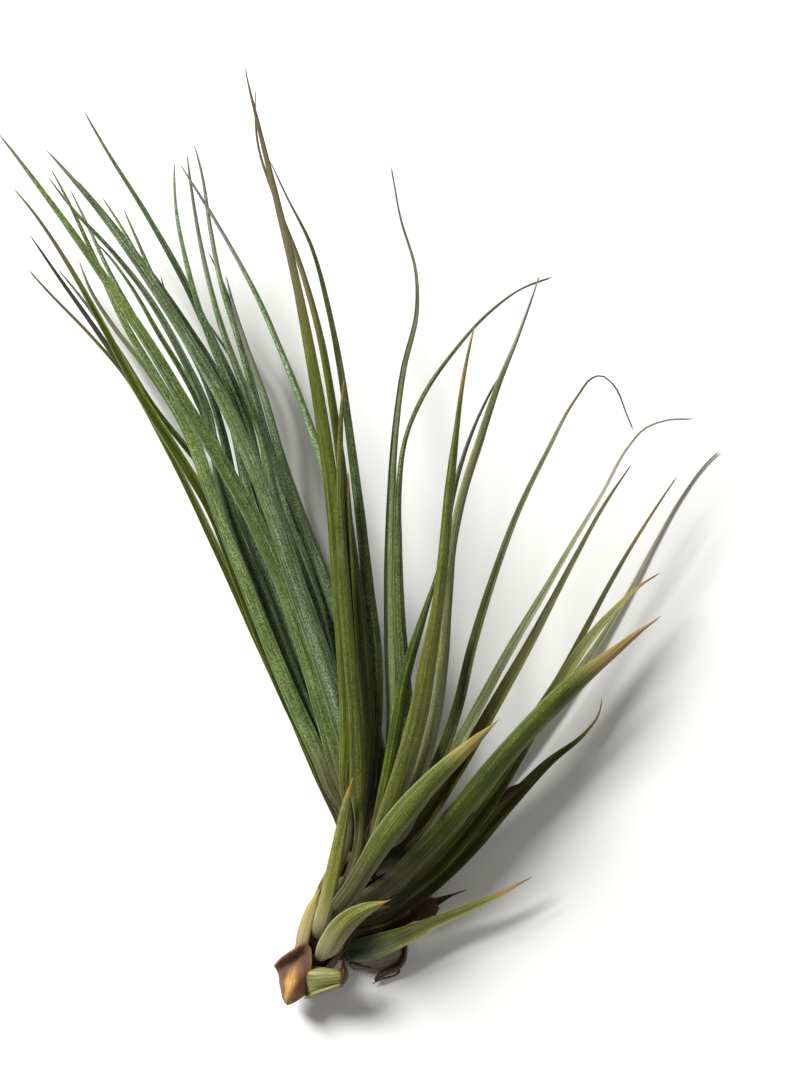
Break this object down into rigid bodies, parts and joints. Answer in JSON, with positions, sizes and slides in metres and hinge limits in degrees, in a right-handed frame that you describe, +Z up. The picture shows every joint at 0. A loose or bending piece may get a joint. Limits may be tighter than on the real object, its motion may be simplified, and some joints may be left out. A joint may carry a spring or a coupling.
{
  "type": "tillandsia seideliana air plant",
  "caption": "Rootless air plant lying on its side: long channelled silver-green leaves fan out from a short stem with dried scales at its foot.",
  "frame": {"origin": "middle of the underside of the plant's box, on the surface that it lies on", "axes": "+Y runs from the stem's foot towards the leaf tips, +Z up from the surface, +X to the right seen from above"},
  "size_m": [0.1818, 0.236, 0.0586],
  "materials": {
    "bundle_leaf": "matt, frosted with fine silver scales, ribbed lengthways",
    "middle_leaf": "satin olive with a light silver bloom, thin grey tips",
    "right_leaf": "satin olive with a light silver bloom, tan tips",
    "yellowing_leaf": "satin, yellow green going tan at the point",
    "pale_sheath": "matt, pale grey green, ribbed",
    "dried_leaf": "matt, brown and papery",
    "stem": "matt, fibrous",
    "root": "matt, dark and wiry"
  },
  "bodies": {
    "root": {"stem": "stem", "leaf_bundle_09": "bundle_leaf", "leaf_bundle_11": "bundle_leaf", "leaf_bundle_17": "bundle_leaf", "leaf_bundle_20": "bundle_leaf", "leaf_bundle_08": "bundle_leaf", "leaf_bundle_14": "bundle_leaf", "leaf_bundle_19": "bundle_leaf", "leaf_bundle_24": "bundle_leaf", "leaf_bundle_06": "bundle_leaf", "leaf_bundle_07": "bundle_leaf", "leaf_bundle_12": "bundle_leaf", "leaf_bundle_22": "bundle_leaf", "leaf_middle_02": "middle_leaf", "leaf_middle_03": "middle_leaf", "leaf_middle_06": "middle_leaf", "leaf_middle_07": "middle_leaf", "leaf_right_07": "right_leaf", "leaf_middle_10": "middle_leaf", "leaf_middle_01": "middle_leaf", "leaf_middle_05": "middle_leaf", "leaf_middle_09": "middle_leaf", "leaf_middle_11": "middle_leaf", "leaf_middle_04": "middle_leaf", "leaf_middle_08": "middle_leaf", "basal_scale": "dried_leaf", "cut_leaf_stub": "pale_sheath", "bract_left": "yellowing_leaf", "bract_upright": "yellowing_leaf", "leaf_right_09": "yellowing_leaf", "bract_lower": "yellowing_leaf", "leaf_bundle_05": "bundle_leaf", "leaf_bundle_10": "bundle_leaf", "leaf_bundle_16": "bundle_leaf", "leaf_bundle_21": "bundle_leaf", "leaf_right_01": "right_leaf", "leaf_right_03": "right_leaf", "leaf_right_06": "right_leaf", "leaf_right_12": "right_leaf", "leaf_bundle_03": "bundle_leaf", "leaf_bundle_13": "bundle_leaf", "leaf_bundle_15": "bundle_leaf", "leaf_bundle_23": "bundle_leaf", "leaf_right_02": "right_leaf", "leaf_right_04": "right_leaf", "dry_leaf_right": "dried_leaf", "leaf_bundle_02": "bundle_leaf", "leaf_bundle_04": "bundle_leaf", "leaf_bundle_18": "bundle_leaf", "leaf_right_05": "right_leaf", "leaf_right_08": "right_leaf", "leaf_right_10": "yellowing_leaf", "dry_sliver": "dried_leaf", "leaf_bundle_01": "bundle_leaf", "dry_sheath": "dried_leaf", "dry_scale_back_1": "dried_leaf", "dry_scale_back_2": "dried_leaf", "dry_membrane": "dried_leaf", "wiry_root": "root"}
  },
  "joints": []
}
